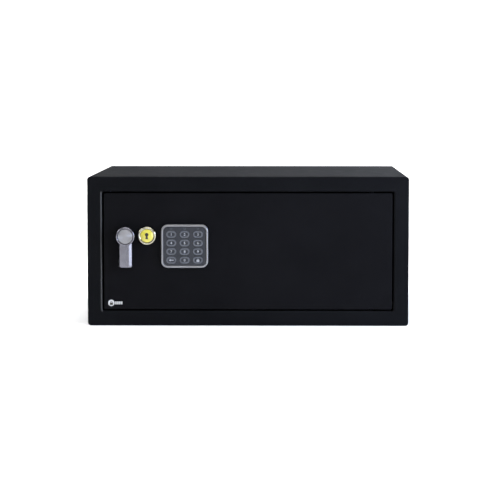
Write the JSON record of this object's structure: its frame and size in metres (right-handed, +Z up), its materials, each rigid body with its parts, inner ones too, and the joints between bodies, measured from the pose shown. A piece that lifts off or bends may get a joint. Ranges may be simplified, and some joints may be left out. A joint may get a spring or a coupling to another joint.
{
  "type": "in-room safe",
  "caption": "Black steel in-room safe with a hinged plate door, lever knob, capped emergency key cylinder, numeric keypad and sliding bolts.",
  "frame": {"origin": "middle of the flat underside of the cabinet", "axes": "+X to the right when facing the door, +Y into the safe from its door to its back wall, +Z up"},
  "size_m": [0.43, 0.3675, 0.2],
  "materials": {
    "cabinet_paint": "satin",
    "door_paint": "satin",
    "felt": "matte",
    "plain_steel": "satin",
    "bolt_steel": "polished",
    "bright_chrome": "polished",
    "turned_face": "satin",
    "bezel_silver": "satin",
    "yellow_gloss": "gloss",
    "brass": "satin",
    "fascia": "matte",
    "key_plastic": "satin",
    "clear_plastic": "gloss",
    "board": "satin",
    "coil_tape": "satin",
    "black_plastic": "matte",
    "cell_sleeve": "gloss",
    "red_plastic": "gloss",
    "lead_sheath": "matte"
  },
  "bodies": {
    "cabinet": {"body_wrap": "cabinet_paint", "front_frame": "cabinet_paint", "back_panel": "cabinet_paint", "floor_mat": "felt", "hinge_block_upper": "plain_steel", "hinge_block_lower": "plain_steel", "hinge_pin_upper": "plain_steel", "hinge_pin_lower": "plain_steel"},
    "door": {"door_plate": "door_paint", "hinge_arm_upper": "plain_steel", "hinge_arm_lower": "plain_steel", "bolt_guide": "plain_steel", "lock_cover": "door_paint", "cover_screw_1": "plain_steel", "cover_screw_2": "plain_steel", "cover_screw_3": "plain_steel", "cover_screw_4": "plain_steel", "guide_stud_upper": "plain_steel", "guide_stud_lower": "plain_steel", "spindle_bush": "bright_chrome", "cap_ring": "bright_chrome", "key_cylinder": "brass", "cylinder_nut": "plain_steel", "keypad_bezel": "bezel_silver", "keypad_panel": "fascia", "light_pipe": "clear_plastic", "keypad_board": "board", "solenoid_frame": "plain_steel", "solenoid_coil": "coil_tape", "plunger_spring": "plain_steel", "battery_box": "black_plastic", "cell_1": "cell_sleeve", "cell_2": "cell_sleeve", "cell_3": "cell_sleeve", "cell_4": "cell_sleeve", "battery_lead": "lead_sheath"},
    "knob": {"knob_handle": "bright_chrome", "knob_face": "turned_face", "knob_spindle": "plain_steel", "cam_disc": "plain_steel"},
    "boltwork": {"bolt_carriage": "plain_steel", "bolt_upper": "bolt_steel", "bolt_lower": "bolt_steel"},
    "plunger": {"solenoid_plunger": "plain_steel"},
    "cap": {"override_cap": "yellow_gloss"},
    "plug": {"key_plug": "brass"},
    "battery_lid": {"battery_cover": "black_plastic"},
    "reset": {"reset_button": "red_plastic"},
    "key_0": {"key_0": "key_plastic"},
    "key_1": {"key_1": "key_plastic"},
    "key_2": {"key_2": "key_plastic"},
    "key_3": {"key_3": "key_plastic"},
    "key_4": {"key_4": "key_plastic"},
    "key_5": {"key_5": "key_plastic"},
    "key_6": {"key_6": "key_plastic"},
    "key_7": {"key_7": "key_plastic"},
    "key_8": {"key_8": "key_plastic"},
    "key_9": {"key_9": "key_plastic"},
    "key_clear": {"key_clear": "key_plastic"},
    "key_lock": {"key_lock": "key_plastic"}
  },
  "joints": [
    {"name": "door_hinge", "type": "hinge", "parent": "cabinet", "child": "door", "pos_m": [0.165, -0.1642, 0.1], "axis": [0, 0, 1], "range_deg": [0, 110]},
    {"name": "knob_turn", "type": "hinge", "parent": "door", "child": "knob", "pos_m": [-0.163, -0.1735, 0.121], "axis": [0, 1, 0], "range_deg": [0, 90]},
    {"name": "bolt_slide", "type": "slide", "parent": "door", "child": "boltwork", "axis": [-1, 0, 0], "range_m": [0, 0.017]},
    {"name": "plunger_drop", "type": "slide", "parent": "door", "child": "plunger", "axis": [0, 0, 1], "range_m": [-0.006, 0]},
    {"name": "cap_pull", "type": "slide", "parent": "door", "child": "cap", "axis": [0, -1, 0], "range_m": [0, 0.025]},
    {"name": "plug_turn", "type": "hinge", "parent": "door", "child": "plug", "pos_m": [-0.135, -0.1735, 0.121], "axis": [0, 1, 0], "range_deg": [0, 90]},
    {"name": "battery_lid_lift", "type": "slide", "parent": "door", "child": "battery_lid", "axis": [0, 1, 0], "range_m": [0, 0.02]},
    {"name": "reset_press", "type": "slide", "parent": "door", "child": "reset", "axis": [0, -1, 0], "range_m": [0, 0.0012], "stiffness_N_per_m": 1500},
    {"name": "key_0_press", "type": "slide", "parent": "door", "child": "key_0", "axis": [0, 1, 0], "range_m": [0, 0.001], "stiffness_N_per_m": 1500},
    {"name": "key_1_press", "type": "slide", "parent": "door", "child": "key_1", "axis": [0, 1, 0], "range_m": [0, 0.001], "stiffness_N_per_m": 1500},
    {"name": "key_2_press", "type": "slide", "parent": "door", "child": "key_2", "axis": [0, 1, 0], "range_m": [0, 0.001], "stiffness_N_per_m": 1500},
    {"name": "key_3_press", "type": "slide", "parent": "door", "child": "key_3", "axis": [0, 1, 0], "range_m": [0, 0.001], "stiffness_N_per_m": 1500},
    {"name": "key_4_press", "type": "slide", "parent": "door", "child": "key_4", "axis": [0, 1, 0], "range_m": [0, 0.001], "stiffness_N_per_m": 1500},
    {"name": "key_5_press", "type": "slide", "parent": "door", "child": "key_5", "axis": [0, 1, 0], "range_m": [0, 0.001], "stiffness_N_per_m": 1500},
    {"name": "key_6_press", "type": "slide", "parent": "door", "child": "key_6", "axis": [0, 1, 0], "range_m": [0, 0.001], "stiffness_N_per_m": 1500},
    {"name": "key_7_press", "type": "slide", "parent": "door", "child": "key_7", "axis": [0, 1, 0], "range_m": [0, 0.001], "stiffness_N_per_m": 1500},
    {"name": "key_8_press", "type": "slide", "parent": "door", "child": "key_8", "axis": [0, 1, 0], "range_m": [0, 0.001], "stiffness_N_per_m": 1500},
    {"name": "key_9_press", "type": "slide", "parent": "door", "child": "key_9", "axis": [0, 1, 0], "range_m": [0, 0.001], "stiffness_N_per_m": 1500},
    {"name": "key_clear_press", "type": "slide", "parent": "door", "child": "key_clear", "axis": [0, 1, 0], "range_m": [0, 0.001], "stiffness_N_per_m": 1500},
    {"name": "key_lock_press", "type": "slide", "parent": "door", "child": "key_lock", "axis": [0, 1, 0], "range_m": [0, 0.001], "stiffness_N_per_m": 1500}
  ],
  "couplings": [
    {"joint": "bolt_slide", "follows": "knob_turn", "m_per_rad": 0.010823}
  ]
}
